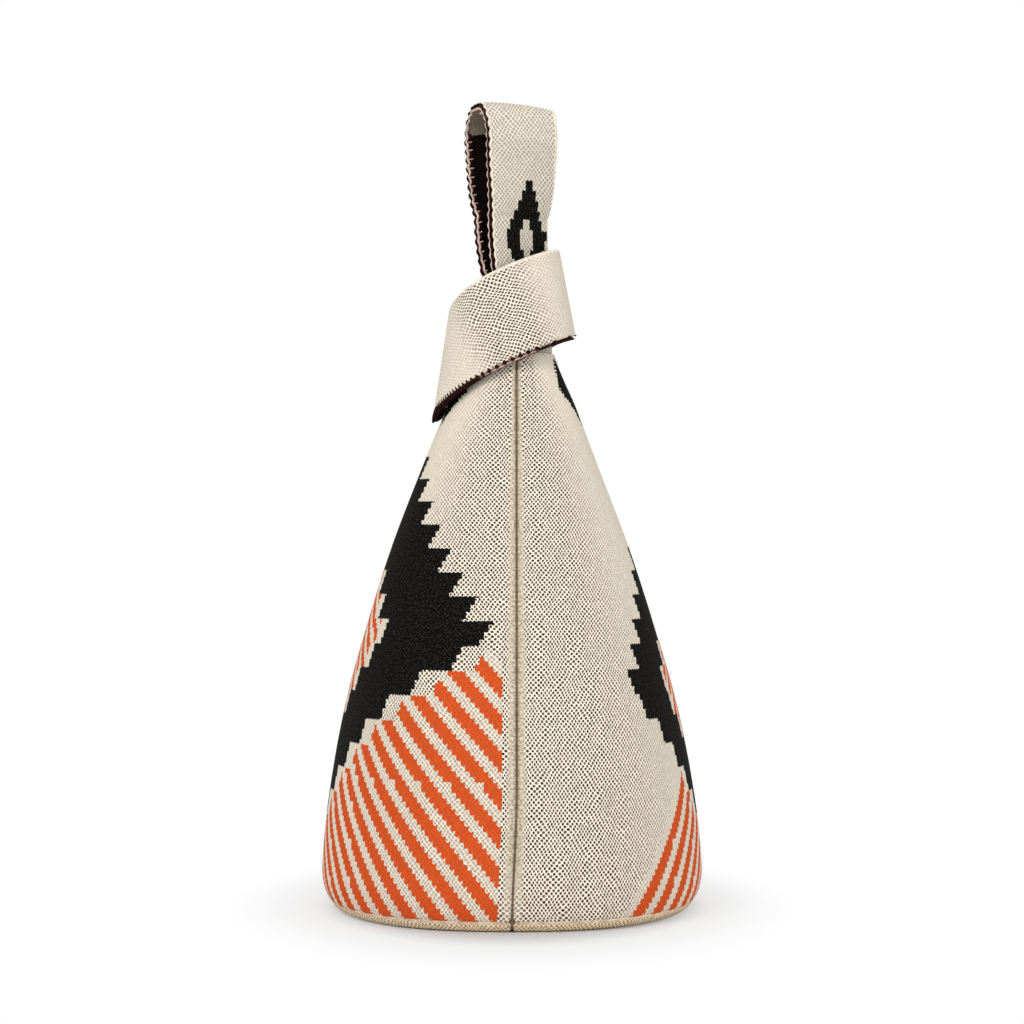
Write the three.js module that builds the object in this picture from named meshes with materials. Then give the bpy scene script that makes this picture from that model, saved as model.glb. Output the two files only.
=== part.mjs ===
// Knitted bucket bag that closes strap through strap. Its wide oval body is a front and a back panel on a base
// in two halves, and tapers to a neck. The right shoulder runs up into a carrying loop. The left shoulder runs
// up into a short strap, which crosses the neck as a slanting band and holds the mouth shut.
// Millimetres, +Z up, +X towards the right shoulder, -Y towards the front. The origin is the base's middle.
import * as THREE from "three";

const { degToRad, lerp, smoothstep } = THREE.MathUtils;

// Cloth and making
const cloth = 2.6; // double knit, face and reverse together
const seat = 0.3; // gap between two pieces that touch
const seamGap = 0.8; // groove between two panels at a seam
const seamDepth = 6; // seam allowance that stands inside the bag
const seamThickness = 3.2; // two turned edges, pressed together
const edging = 3; // thickness of an overlocked edge

// Body, measured over the outside
const bellyWidth = 220;
const bellyDepth = 170;
const bellyHeight = 17; // where the wall is widest
const bellyLean = 3.8; // how far the wall would lean in, had it gone on as it leaves the belly
const baseInset = 10; // the flat of the base lies this far inside the belly
const rimHeight = 4.5; // seam between wall and base
const neckHeight = 246;
const neckDepth = 39;
const rightNeckReach = 18; // from the middle plane to the right shoulder at the neck
const leftNeckReach = 36; // the same to the left shoulder
const frontFullness = 33; // how full the front stays below the neck
const backFullness = 29; // the same for the back
const widthFullness = 42; // the same for the shoulders
const squareness = 2.3; // exponent of the oval section, 2 is an ellipse

// Mouth: heights below the neck, and places as shares of a panel's way from its right seam to its left one
const mouthDrop = 40;
const leftShoulderDrop = 14;
const neckShare = 0.5; // the neck ends here
const mouthShare = 0.62; // the neckline is lowest here
const strapShare = 0.68; // the short strap begins here

// Carrying loop
const foldRise = 62; // from the neck up to where the loop folds over
const loopHeight = 52; // from the fold up to the crown
const strapWidth = 27;
const footSpread = 11; // between the two layers at the fold, middle to middle
const crownSpread = 30; // the same at the crown
const footTwist = degToRad(40);
const crownTwist = degToRad(17);
const crownDrop = 3; // the crown's right end hangs lower
const crownCorner = 5; // radius at which the right end turns over the crown, the left end is one round arch
const crownSeamWidth = 4;

// Band: heights above the neck at its left and right folds, and how far it stands off what it holds
const lowerLeftRise = -27;
const lowerRightRise = 10;
const upperLeftRise = 16;
const upperRightRise = 45;
const lowerLeftSlack = 0.6;
const lowerRightSlack = 9;
const upperLeftSlack = 12.7;
const upperRightSlack = 5.7;
const lowerFaceSlack = 4;
const upperFaceSlack = 6.5;
const lowerEasing = 0.65; // exponent of an edge's rise from left to right, below 1 it eases off
const upperEasing = 0.53;
const legBow = 26; // how far the legs of the short strap run on before they turn
const backLegWaist = 11; // the back leg draws in this far behind the neck

const bag = new THREE.Group();

// Materials
const knit = (colour) => new THREE.MeshStandardMaterial({ color: colour, roughness: 0.9, metalness: 0 });
const creamKnit = knit(0xd8ccb8);
const patternKnit = knit(0x2a2826);
const darkEdging = knit(0x3b1f1a);
const creamEdging = knit(0xcfc2ad);

function addPiece(name, geometry, material) {
  const piece = new THREE.Mesh(geometry, material);
  piece.name = name;
  bag.add(piece);
}

// A closed sheet of cloth: a grid on surface(u, v), moved half the thickness to each side and closed round.
function sheet(surface, columns, rows, thickness = cloth) {
  const step = 1e-3;
  const along = (from, to) => new THREE.Vector3().subVectors(to, from);
  const points = [];
  for (let j = 0; j <= rows; j++) {
    for (let i = 0; i <= columns; i++) {
      const u = i / columns;
      const v = j / rows;
      const across = along(surface(Math.max(u - step, 0), v), surface(Math.min(u + step, 1), v));
      const up = along(surface(u, Math.max(v - step, 0)), surface(u, Math.min(v + step, 1)));
      const normal = across.cross(up).setLength(thickness / 2);
      points.push(surface(u, v).add(normal), surface(u, v).sub(normal));
    }
  }
  const face = (i, j) => 2 * (j * (columns + 1) + i);
  const back = (i, j) => face(i, j) + 1;
  const triangles = [];
  const quad = (a, b, c, d) => triangles.push(a, b, c, a, c, d);
  for (let j = 0; j < rows; j++) {
    for (let i = 0; i < columns; i++) {
      quad(face(i, j), face(i + 1, j), face(i + 1, j + 1), face(i, j + 1));
      quad(back(i, j), back(i, j + 1), back(i + 1, j + 1), back(i + 1, j));
    }
  }
  for (let i = 0; i < columns; i++) {
    quad(face(i, 0), back(i, 0), back(i + 1, 0), face(i + 1, 0));
    quad(face(i, rows), face(i + 1, rows), back(i + 1, rows), back(i, rows));
  }
  for (let j = 0; j < rows; j++) {
    quad(face(0, j), face(0, j + 1), back(0, j + 1), back(0, j));
    quad(face(columns, j), back(columns, j), back(columns, j + 1), face(columns, j + 1));
  }
  return new THREE.BufferGeometry().setFromPoints(points).setIndex(triangles);
}

// A round, overlocked edging along a curve, which at(share) gives from end to end.
const edgingSeat = edging / 2 + 1.5 * seat; // from a sheet's edge to the middle of its edging
function roundEdging(at, knots, steps) {
  const section = new THREE.Shape();
  section.absarc(0, 0, edging / 2, 0, 2 * Math.PI);
  const points = Array.from({ length: knots + 1 }, (_, i) => at(i / knots));
  const extrudePath = new THREE.CatmullRomCurve3(points);
  return new THREE.ExtrudeGeometry(section, { steps, curveSegments: 4, extrudePath });
}

// Reach of the wall's middle layer from the bag's middle at a height: round at the foot, then a long taper.
function reach(height, belly, neck, fullness) {
  if (height < bellyHeight) {
    const corner = Math.acos((bellyHeight - height) / (bellyHeight - cloth / 2));
    return belly - baseInset + (baseInset - cloth / 2) * Math.sin(corner);
  }
  const t = (height - bellyHeight) / (neckHeight - bellyHeight);
  const low = belly * (1 - t) ** 3 + 3 * (belly - bellyLean) * t * (1 - t) ** 2;
  const high = 3 * (neck + fullness) * t ** 2 * (1 - t) + neck * t ** 3;
  return low + high - cloth / 2;
}
function depthAt(height, side) {
  const fullness = side < 0 ? frontFullness : backFullness;
  return reach(height, bellyDepth / 2, neckDepth / 2, fullness);
}
const rightAt = (height) => reach(height, bellyWidth / 2, rightNeckReach, widthFullness);
const leftAt = (height) => reach(height, bellyWidth / 2, leftNeckReach, widthFullness);

const rounded = (value) => Math.sign(value) * Math.abs(value) ** (2 / squareness);

// A point on the body's oval: turn runs from 0 at the right seam to 1 at the left one, and side is -1 in front
// and 1 behind.
function oval(turn, side, height) {
  const angle = turn * Math.PI;
  const width = turn < 0.5 ? rightAt(height) : leftAt(height);
  const depth = depthAt(height, side) - seamGap / 2;
  return new THREE.Vector3(
    width * rounded(Math.cos(angle)),
    side * (seamGap / 2 + depth * rounded(Math.sin(angle))),
    height,
  );
}

// Height of a panel's upper edge: level at the neck, down into the neckline, up again to the left shoulder.
const mouthHeight = neckHeight - mouthDrop;
function upperEdge(turn) {
  if (turn < mouthShare) {
    return lerp(neckHeight, mouthHeight, smoothstep(turn, neckShare, mouthShare));
  }
  return lerp(mouthHeight, neckHeight - leftShoulderDrop, smoothstep(turn, mouthShare, 1));
}

// Walls, with their first rows on the round foot
const wallColumns = 28;
const wallRows = 14;
const footRows = 3;
function wall(side) {
  const footShare = footRows / wallRows;
  return (u, v) => {
    if (v < footShare) {
      return oval(u, side, lerp(rimHeight + seat, bellyHeight, v / footShare));
    }
    return oval(u, side, lerp(bellyHeight, upperEdge(u), (v - footShare) / (1 - footShare)));
  };
}
addPiece("front_panel", sheet(wall(-1), wallColumns, wallRows), patternKnit);
addPiece("back_panel", sheet(wall(1), wallColumns, wallRows), patternKnit);

// Base: flat from its middle seam to the foot of the oval, then round up to the wall
const middleSeamEnd = 8; // the middle seam ends this far inside the foot
const flatShare = 0.5;
const footReach = bellyWidth / 2 - baseInset;
const rimCorner = Math.acos((bellyHeight - rimHeight) / (bellyHeight - cloth / 2));
function base(side) {
  return (u, v) => {
    const foot = oval(u, side, cloth / 2);
    if (v <= flatShare) {
      const inset = 1 - middleSeamEnd / footReach;
      const middle = new THREE.Vector3(foot.x * inset, (side * seamGap) / 2, foot.z);
      return middle.lerp(foot, v / flatShare);
    }
    const corner = (rimCorner * (v - flatShare)) / (1 - flatShare);
    return oval(u, side, bellyHeight - (bellyHeight - cloth / 2) * Math.cos(corner));
  };
}
addPiece("front_base", sheet(base(-1), wallColumns, 6), creamKnit);
addPiece("back_base", sheet(base(1), wallColumns, 6), creamKnit);

// Seam allowances, which stand inside the bag
function sideSeam(turn) {
  const inward = turn < 0.5 ? -1 : 1;
  const foot = rimHeight + cloth + 2 * seamDepth;
  const head = upperEdge(turn) - seamDepth;
  return (u, v) => {
    const point = oval(turn, 1, lerp(foot, head, u)).setY(0);
    point.x += inward * (cloth / 2 + 2 * seat + seamDepth * v);
    return point;
  };
}
function middleSeam(u, v) {
  const length = 2 * (footReach - middleSeamEnd - seamDepth);
  return new THREE.Vector3(length * (u - 0.5), 0, cloth + seat + seamDepth * v);
}
const rimSeamStart = 0.03; // leaves the side seams free
function rimSeam(side) {
  return (u, v) => {
    const foot = oval(lerp(rimSeamStart, 1 - rimSeamStart, u), side, rimHeight + cloth);
    const inset = cloth + seat / 2 + seamDepth * v;
    const shrink = 1 - inset / Math.hypot(foot.x, foot.y);
    return new THREE.Vector3(foot.x * shrink, foot.y * shrink, foot.z + (seamDepth * v) / 3);
  };
}
addPiece("right_side_seam", sheet(sideSeam(0), 16, 1, seamThickness), creamKnit);
addPiece("left_side_seam", sheet(sideSeam(1), 16, 1, seamThickness), creamKnit);
addPiece("base_middle_seam", sheet(middleSeam, 1, 1, seamThickness), creamKnit);
addPiece("front_base_seam", sheet(rimSeam(-1), wallColumns, 1, cloth / 2), creamKnit);
addPiece("back_base_seam", sheet(rimSeam(1), wallColumns, 1, cloth / 2), creamKnit);

// Carrying loop: up its near layer, over the crown and down its far layer, turning as it rises, most of all
// near the fold. share runs along the loop, and across is measured from the strap's middle line.
const foldHeight = neckHeight + foldRise;
const crownRadius = crownSpread / 2;
const layerLength = loopHeight - cloth / 2 - crownRadius;
const loopLength = 2 * layerLength + Math.PI * crownRadius;
const layerShare = layerLength / loopLength;
function loop(share, across) {
  const layer = share < 0.5 ? 1 : -1;
  const along = share < 0.5 ? share : 1 - share;
  const rightward = across / strapWidth + 0.5;
  const corner = lerp(crownRadius, crownCorner, rightward);
  const upright = loopHeight - cloth / 2 - corner;
  let climb = (upright * along) / layerShare;
  let spread = lerp(footSpread / 2, crownRadius, Math.sin((Math.min(climb / layerLength, 1) * Math.PI) / 2));
  if (along > layerShare) {
    const turn = (corner * Math.PI) / 2;
    const over = ((along - layerShare) / (0.5 - layerShare)) * (turn + crownRadius - corner);
    const angle = Math.min(over, turn) / corner;
    climb = upright + corner * Math.sin(angle);
    spread = crownRadius - corner * (1 - Math.cos(angle)) - Math.max(over - turn, 0);
  }
  const rise = climb / loopHeight;
  const twist = lerp(footTwist, crownTwist, 1 - (1 - rise) ** 3);
  return new THREE.Vector3(
    layer * spread * Math.cos(twist) - across * Math.sin(twist),
    layer * spread * Math.sin(twist) + across * Math.cos(twist),
    foldHeight + climb - crownDrop * rise * rightward,
  );
}
const acrossStrap = (u) => (u - 0.5) * strapWidth;
const crownGap = seat / 2 / loopLength;
const nearStrap = (u, v) => loop(lerp(0, 0.5 - crownGap, v), acrossStrap(u));
const farStrap = (u, v) => loop(lerp(0.5 + crownGap, 1, v), acrossStrap(u));
function crownSeam(u, v) {
  const inside = loop(0.5 + ((v - 0.5) * crownSeamWidth) / loopLength, acrossStrap(u));
  return inside.setZ(inside.z - cloth - seat);
}
const loopEdging = (side) => (share) => loop(share, side * (strapWidth / 2 + edgingSeat));
addPiece("loop_near_strap", sheet(nearStrap, 4, 14), creamKnit);
addPiece("loop_far_strap", sheet(farStrap, 4, 14), creamKnit);
addPiece("loop_crown_seam", sheet(crownSeam, 4, 2, cloth / 2), creamEdging);
addPiece("loop_left_edging", roundEdging(loopEdging(-1), 24, 40), darkEdging);
addPiece("loop_right_edging", roundEdging(loopEdging(1), 24, 40), creamEdging);

// Neck straps: each panel's neck runs on through the band, and up to the fold of the loop.
const slopedSeat = seat + cloth / 4; // upright gap where two sloping sheets meet end to end
function neckStrap(side, foldEnd) {
  return (u, v) => {
    const below = oval(neckShare * u, side, neckHeight).setZ(neckHeight + slopedSeat);
    const above = loop(foldEnd, acrossStrap(u)).setZ(foldHeight - slopedSeat);
    const height = lerp(below.z, above.z, v);
    return below.lerp(above, Math.sin((v * Math.PI) / 2)).setZ(height);
  };
}
addPiece("front_neck_strap", sheet(neckStrap(-1, 1), 6, 8), creamKnit);
addPiece("back_neck_strap", sheet(neckStrap(1, 0), 6, 8), creamKnit);

// Band: the short strap from its left fold, across the neck, to its right fold. Its lower edge goes round the
// neck and its upper edge round the carrying loop.
const lowerLeft = neckHeight + lowerLeftRise;
const lowerRight = neckHeight + lowerRightRise;
const strapReach = (strapWidth * Math.sin(footTwist) + footSpread * Math.cos(footTwist)) / 2;
const lowerBand = {
  left: -(depthAt(lowerLeft - edging, -1) + cloth + lowerLeftSlack),
  right: neckDepth / 2 - cloth / 2 + lowerRightSlack,
  face: rightAt(neckHeight - edging) + cloth + lowerFaceSlack,
  leftHeight: lowerLeft,
  rightHeight: lowerRight,
  easing: lowerEasing,
};
const upperBand = {
  left: -(strapWidth / 2 + cloth / 2 + upperLeftSlack),
  right: strapWidth / 2 + cloth / 2 + upperRightSlack,
  face: strapReach + cloth / 2 + upperFaceSlack,
  leftHeight: neckHeight + upperLeftRise,
  rightHeight: neckHeight + upperRightRise,
  easing: upperEasing,
};
function bandEdge(edge, turn) {
  const angle = (turn - 0.5) * Math.PI;
  const share = (1 + rounded(Math.sin(angle))) / 2;
  return new THREE.Vector3(
    edge.face * rounded(Math.cos(angle)),
    lerp(edge.left, edge.right, share),
    lerp(edge.leftHeight, edge.rightHeight, share ** edge.easing),
  );
}
function band(turn, share, beyond = 0) {
  const lower = bandEdge(lowerBand, turn);
  const across = bandEdge(upperBand, turn).sub(lower);
  return lower.addScaledVector(across, share + beyond / across.length());
}
addPiece("short_strap_band", sheet(band, 24, 4), creamKnit);
addPiece("band_lower_edging", roundEdging((turn) => band(turn, 0, -edgingSeat), 20, 24), darkEdging);
addPiece("band_upper_edging", roundEdging((turn) => band(turn, 1, edgingSeat), 20, 24), creamEdging);

// Legs of the short strap, from the left shoulder up to the folds of the band
function strapLeg(side, waist) {
  const fold = side < 0 ? 0 : 1;
  return (u, v) => {
    const turn = lerp(strapShare, 1, u);
    const height = upperEdge(turn) + slopedSeat;
    const root = oval(turn, side, height);
    const rootBow = oval(turn, side, height + 1).sub(root).setLength(legBow).add(root);
    const end = band(fold, u).add(new THREE.Vector3(-seat, 0, 0));
    const endBow = new THREE.Vector3(-legBow, 0, 0).add(end);
    const point = new THREE.CubicBezierCurve3(root, rootBow, endBow, end).getPoint(v);
    point.y -= side * waist * (1 - u) * ((1.5 * v) ** 2 * 3 * (1 - v)) ** 2;
    return point;
  };
}
addPiece("front_strap_leg", sheet(strapLeg(-1, 0), 6, 10), creamKnit);
addPiece("back_strap_leg", sheet(strapLeg(1, backLegWaist), 6, 10), creamKnit);

// Edgings along the neckline, square off the panel's edge, between the neck and the short strap
const edgingEnd = 0.02; // share of the panel's way that the edging leaves free at the straps
function mouthEdging(side) {
  const step = 1e-3;
  const edge = (turn) => oval(turn, side, upperEdge(turn));
  return (share) => {
    const turn = lerp(neckShare + edgingEnd, strapShare - edgingEnd, share);
    const along = edge(turn + step).sub(edge(turn - step));
    const upward = oval(turn, side, upperEdge(turn) + 1).sub(edge(turn));
    const outward = upward.addScaledVector(along, -upward.dot(along) / along.lengthSq());
    return edge(turn).add(outward.setLength(edgingSeat + seat));
  };
}
addPiece("front_mouth_edging", roundEdging(mouthEdging(-1), 14, 20), darkEdging);
addPiece("back_mouth_edging", roundEdging(mouthEdging(1), 14, 20), darkEdging);

export default bag;
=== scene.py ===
"""Knitted bucket bag, strap drawn through strap, in a white studio.

The forms are worked out in millimetres and become metres as a mesh is made. +Z is up, the right shoulder is
towards +X and the front towards -Y, and the camera looks at the right side seam.
"""

import math

import bmesh
import bpy
import numpy as np
from mathutils import Matrix, Vector


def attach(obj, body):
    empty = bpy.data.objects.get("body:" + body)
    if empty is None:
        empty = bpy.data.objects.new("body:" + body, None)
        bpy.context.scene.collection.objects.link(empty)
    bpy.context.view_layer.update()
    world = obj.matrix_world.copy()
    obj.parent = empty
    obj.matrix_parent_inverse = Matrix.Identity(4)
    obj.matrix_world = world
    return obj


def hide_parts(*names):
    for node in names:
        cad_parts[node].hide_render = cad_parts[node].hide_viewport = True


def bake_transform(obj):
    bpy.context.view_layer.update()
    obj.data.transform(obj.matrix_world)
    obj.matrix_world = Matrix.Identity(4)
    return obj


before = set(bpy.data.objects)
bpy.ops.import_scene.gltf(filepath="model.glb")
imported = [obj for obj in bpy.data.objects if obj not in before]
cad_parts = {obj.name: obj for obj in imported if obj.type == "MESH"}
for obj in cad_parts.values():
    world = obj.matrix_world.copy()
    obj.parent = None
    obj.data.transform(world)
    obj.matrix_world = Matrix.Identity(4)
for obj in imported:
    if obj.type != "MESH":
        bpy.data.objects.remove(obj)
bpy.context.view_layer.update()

MM = 0.001

# Cloth and making
CLOTH = 2.6  # thickness of the double knit
SEAT = 0.3  # gap between two pieces that touch
SEAM_GAP = 0.8  # groove between two panels
SEAM_DEPTH = 6.0  # seam allowance that stands inside
SEAM_THICKNESS = 3.2
WALE = 1.86  # stitches across
COURSE = 1.14  # pinhole rows, each set half a stitch aside

# Body, measured over the outside
BELLY_WIDTH = 220.0
BELLY_DEPTH = 170.0
BELLY_HEIGHT = 17.0
BELLY_LEAN = 3.8
BASE_INSET = 10.0
RIM_HEIGHT = 4.5
NECK_HEIGHT = 246.0
NECK_DEPTH = 39.0
RIGHT_NECK_REACH = 18.0
LEFT_NECK_REACH = 36.0
FRONT_FULLNESS = 33.0
BACK_FULLNESS = 29.0
BACK_NECK_TUCK = 1.4
TUCK_HEIGHTS = (NECK_HEIGHT - 26.0, NECK_HEIGHT - 6.0)
WIDTH_FULLNESS = 42.0
SQUARENESS = 2.3
FOOT_RADIUS = BELLY_HEIGHT - CLOTH / 2  # of the wall's middle layer where it turns up from the floor
FOOT_REACH = BELLY_WIDTH / 2 - BASE_INSET
RIM_ANGLE = math.acos((BELLY_HEIGHT - RIM_HEIGHT) / FOOT_RADIUS)

# Mouth. Its shares of the way round a panel are where the neck ends, where the mouth is lowest and where the
# short strap starts.
MOUTH_HEIGHT = NECK_HEIGHT - 40.0
LEFT_SHOULDER_HEIGHT = NECK_HEIGHT - 14.0
NECK_SHARE = 0.5
MOUTH_SHARE = 0.62
STRAP_SHARE = 0.68

# Carrying loop
FOLD_HEIGHT = NECK_HEIGHT + 62.0
LOOP_HEIGHT = 52.0
STRAP_WIDTH = 27.0  # between the stitching of its edges
FOOT_SPREAD = 11.0
CROWN_RADIUS = 15.0
FOOT_TWIST = math.radians(40)
CROWN_TWIST = math.radians(17)
LEFT_DROP = 0.8  # how far the crown sinks at its left end, and at its right one
RIGHT_DROP = 3.9
LEFT_CORNER = 10.7  # radius at which the strap turns over the crown, at its left end and at its right one
RIGHT_CORNER = 5.0
LOOP_OPENS = (0.5, 0.55)  # how early the two layers part, and how early the strap turns
LOOP_TURNS = (0.62, 0.86)
LAYER_LENGTH = LOOP_HEIGHT - CLOTH / 2 - CROWN_RADIUS
LOOP_LENGTH = 2 * LAYER_LENGTH + math.pi * CROWN_RADIUS
LAYER_SHARE = LAYER_LENGTH / LOOP_LENGTH
LEFT_MARGIN = 2.3  # cloth beyond the strap's width, under the stitching of its edges
RIGHT_MARGIN = 2.4
FULL_WIDTH = LEFT_MARGIN + STRAP_WIDTH + RIGHT_MARGIN

# Band of the short strap
LEG_BOW = 26.0
BACK_LEG_WAIST = 11.0
LOWER_MARGIN = 1.2  # cloth beyond the band's width, under the stitching of its edges
UPPER_MARGIN = 2.6

# How finely the cloth is meshed at its edges, and how they roll
ROLL_REACH = 4.0
ROLL = ROLL_REACH * (1 - np.cos(np.linspace(0, math.pi / 2, 8)))  # distances from an edge
THINNEST = 0.2  # share of the thickness that is left at a rolled edge


def lerp(start, end, share):
    return start + (end - start) * share


def eased(share, early, late):
    """A share that leaves 0 and comes to 1 at a pace given by its two middle handles."""
    return 3 * early * share * (1 - share) ** 2 + 3 * late * share**2 * (1 - share) + share**3


def smoothstep(value, low, high):
    share = np.clip((value - low) / (high - low), 0, 1)
    return share * share * (3 - 2 * share)


def point(*coordinates):
    """Points in space, or places on the cloth, from their coordinates."""
    return np.stack(np.broadcast_arrays(*coordinates), axis=-1).astype(float)


def unit(vectors):
    return vectors / np.maximum(np.linalg.norm(vectors, axis=-1, keepdims=True), 1e-9)


def along(points, axis=0):
    """Distance to each point from the first one of its line, or of its row of a grid."""
    steps = np.linalg.norm(np.diff(points, axis=axis), axis=-1)
    return np.insert(np.cumsum(steps, axis=axis), 0, 0.0, axis=axis)


def rolled(distance):
    """Share of the cloth's thickness at a distance from its rounded edge."""
    return np.maximum(THINNEST, np.sqrt(1 - (1 - np.minimum(distance / (CLOTH / 2), 1)) ** 2))


def with_rolls(length, count):
    """Places along a length, crowded towards both ends."""
    middle = np.linspace(ROLL_REACH, length - ROLL_REACH, count)[1:-1]
    return np.concatenate((ROLL, middle, length - ROLL[::-1]))


# The body's form

def reach(height, belly, neck, fullness):
    """Reach of the wall's middle layer: round at the foot, then a long taper."""
    corner = np.arccos(np.clip((BELLY_HEIGHT - height) / FOOT_RADIUS, -1, 1))
    foot = belly - BASE_INSET + (BASE_INSET - CLOTH / 2) * np.sin(corner)
    t = np.maximum((height - BELLY_HEIGHT) / (NECK_HEIGHT - BELLY_HEIGHT), 0)
    low = belly * (1 - t) ** 3 + 3 * (belly - BELLY_LEAN) * t * (1 - t) ** 2
    high = 3 * (neck + fullness) * t**2 * (1 - t) + neck * t**3
    return np.where(height < BELLY_HEIGHT, foot, low + high - CLOTH / 2)


def depth_at(height, side):
    if side < 0:
        return reach(height, BELLY_DEPTH / 2, NECK_DEPTH / 2, FRONT_FULLNESS)
    tuck = BACK_NECK_TUCK * smoothstep(height, *TUCK_HEIGHTS)
    return reach(height, BELLY_DEPTH / 2, NECK_DEPTH / 2, BACK_FULLNESS) - tuck


def right_at(height):
    return reach(height, BELLY_WIDTH / 2, RIGHT_NECK_REACH, WIDTH_FULLNESS)


def left_at(height):
    return reach(height, BELLY_WIDTH / 2, LEFT_NECK_REACH, WIDTH_FULLNESS)


def rim_heights(share):
    """Heights of the wall's middle layer round the foot, from the floor at 0 to the rim at 1."""
    return BELLY_HEIGHT - FOOT_RADIUS * np.cos(RIM_ANGLE * share)


def rounded(value):
    return np.sign(value) * np.abs(value) ** (2 / SQUARENESS)


def oval(turn, side, height):
    """A point on the wall. turn is 0 at the right seam and 1 at the left one, side is -1 for the front."""
    turn, height = np.broadcast_arrays(turn, height)
    width = np.where(turn < 0.5, right_at(height), left_at(height))
    depth = depth_at(height, side) - SEAM_GAP / 2
    angle = turn * math.pi
    return point(
        width * rounded(np.cos(angle)),
        side * (SEAM_GAP / 2 + depth * rounded(np.sin(angle))),
        height,
    )


def upper_edge(turn):
    neckline = lerp(NECK_HEIGHT, MOUTH_HEIGHT, smoothstep(turn, NECK_SHARE, MOUTH_SHARE))
    shoulder = lerp(MOUTH_HEIGHT, LEFT_SHOULDER_HEIGHT, smoothstep(turn, MOUTH_SHARE, 1))
    return np.where(turn < MOUTH_SHARE, neckline, shoulder)


# The straps' forms

def loop(share, across):
    """The carrying loop, up its near layer, over the crown and down its far one, turning as it rises."""
    share, across = np.broadcast_arrays(share, across)
    layer = np.where(share < 0.5, 1, -1)
    up = np.minimum(share, 1 - share)
    rightward = across / STRAP_WIDTH + 0.5
    corner = lerp(LEFT_CORNER, RIGHT_CORNER, rightward)
    climb = (LOOP_HEIGHT - CLOTH / 2 - corner) * np.minimum(up / LAYER_SHARE, 1)
    opening = eased(np.minimum(climb / LAYER_LENGTH, 1), *LOOP_OPENS)
    quarter = corner * math.pi / 2
    over = np.maximum(up - LAYER_SHARE, 0) / (0.5 - LAYER_SHARE) * (quarter + CROWN_RADIUS - corner)
    angle = np.minimum(over, quarter) / corner
    spread = lerp(FOOT_SPREAD / 2, CROWN_RADIUS, opening)
    spread = layer * (spread - corner * (1 - np.cos(angle)) - np.maximum(over - quarter, 0))
    climb = climb + corner * np.sin(angle)
    rise = climb / LOOP_HEIGHT
    twist = lerp(FOOT_TWIST, CROWN_TWIST, eased(rise, *LOOP_TURNS))
    return point(
        spread * np.cos(twist) - across * np.sin(twist),
        spread * np.sin(twist) + across * np.cos(twist),
        FOLD_HEIGHT + climb - rise * lerp(LEFT_DROP, RIGHT_DROP, rightward**2),
    )


def strap_across(share):
    """Distance from the carrying strap's middle line, at a share of its full width."""
    return FULL_WIDTH * share - STRAP_WIDTH / 2 - LEFT_MARGIN


def neck_strap(side, fold_end, share, up):
    """A panel's neck, drawn together on its way through the band to the fold of the loop."""
    below = oval(NECK_SHARE * share, side, NECK_HEIGHT)
    above = loop(fold_end, strap_across(share))
    made = lerp(below, above, np.sin(up * math.pi / 2)[..., None])
    made[..., 2] = lerp(NECK_HEIGHT, FOLD_HEIGHT, up)
    return made


# The band's edges: where their ends lie, how far their middles stand off and how they slope
STRAP_REACH = (STRAP_WIDTH * math.sin(FOOT_TWIST) + FOOT_SPREAD * math.cos(FOOT_TWIST)) / 2
LOWER_EDGE = {
    "left": -(float(depth_at(NECK_HEIGHT - 30.0, -1)) + CLOTH + 0.6),
    "right": NECK_DEPTH / 2 - CLOTH / 2 + 9.0,
    "face": float(right_at(NECK_HEIGHT - 3.0)) + CLOTH + 4.0,
    "left_height": NECK_HEIGHT - 27.0,
    "right_height": NECK_HEIGHT + 10.0,
    "easing": 0.65,
}
UPPER_EDGE = {
    "left": -(STRAP_WIDTH / 2 + CLOTH / 2 + 12.7),
    "right": STRAP_WIDTH / 2 + CLOTH / 2 + 5.7,
    "face": STRAP_REACH + CLOTH / 2 + 6.5,
    "left_height": NECK_HEIGHT + 16.0,
    "right_height": NECK_HEIGHT + 45.0,
    "easing": 0.53,
}


def band_edge(edge, turn):
    angle = (turn - 0.5) * math.pi
    share = (1 + rounded(np.sin(angle))) / 2
    return point(
        edge["face"] * rounded(np.cos(angle)),
        lerp(edge["left"], edge["right"], share),
        lerp(edge["left_height"], edge["right_height"], share ** edge["easing"]),
    )


def band(turn, share):
    """The short strap where it lies across the neck, from its left fold to its right one."""
    turn, share = np.broadcast_arrays(turn, share)
    lower, upper = band_edge(LOWER_EDGE, turn), band_edge(UPPER_EDGE, turn)
    across = unit(upper - lower)
    return lerp(lower - LOWER_MARGIN * across, upper + UPPER_MARGIN * across, share[..., None])


def strap_leg(side, share, up):
    """A leg of the short strap, from the left shoulder to a fold of the band."""
    share, up = np.broadcast_arrays(share, up)
    turn = lerp(STRAP_SHARE, 1, share)
    root = oval(turn, side, upper_edge(turn))
    root_bow = root + LEG_BOW * unit(oval(turn, side, upper_edge(turn) + 1) - root)
    end = band(0.0 if side < 0 else 1.0, share)
    end_bow = end - np.array((LEG_BOW, 0, 0))
    t = up[..., None]
    made = root * (1 - t) ** 3 + 3 * root_bow * t * (1 - t) ** 2 + 3 * end_bow * t**2 * (1 - t) + end * t**3
    if side > 0:
        narrowest = 6.75 * up**2 * (1 - up)  # 1 at two thirds of the way up
        made[..., 1] -= BACK_LEG_WAIST * (1 - share) * narrowest**2
    return made


# Shader nodes

MIX_SHARE, MIX_FROM, MIX_TO, MIX_COLOUR = 0, 6, 7, 2  # sockets of a Mix node that mixes colours
GLOSS = 0.04  # of wool, as the shader's specular level


def math_node(operation, reflected=False):
    """A method of Value that adds a Math node."""

    def method(self, *others):
        operands = (*others, self) if reflected else (self, *others)
        return self.finish.node("Math", dict(enumerate(operands)), operation=operation)

    return method


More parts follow.
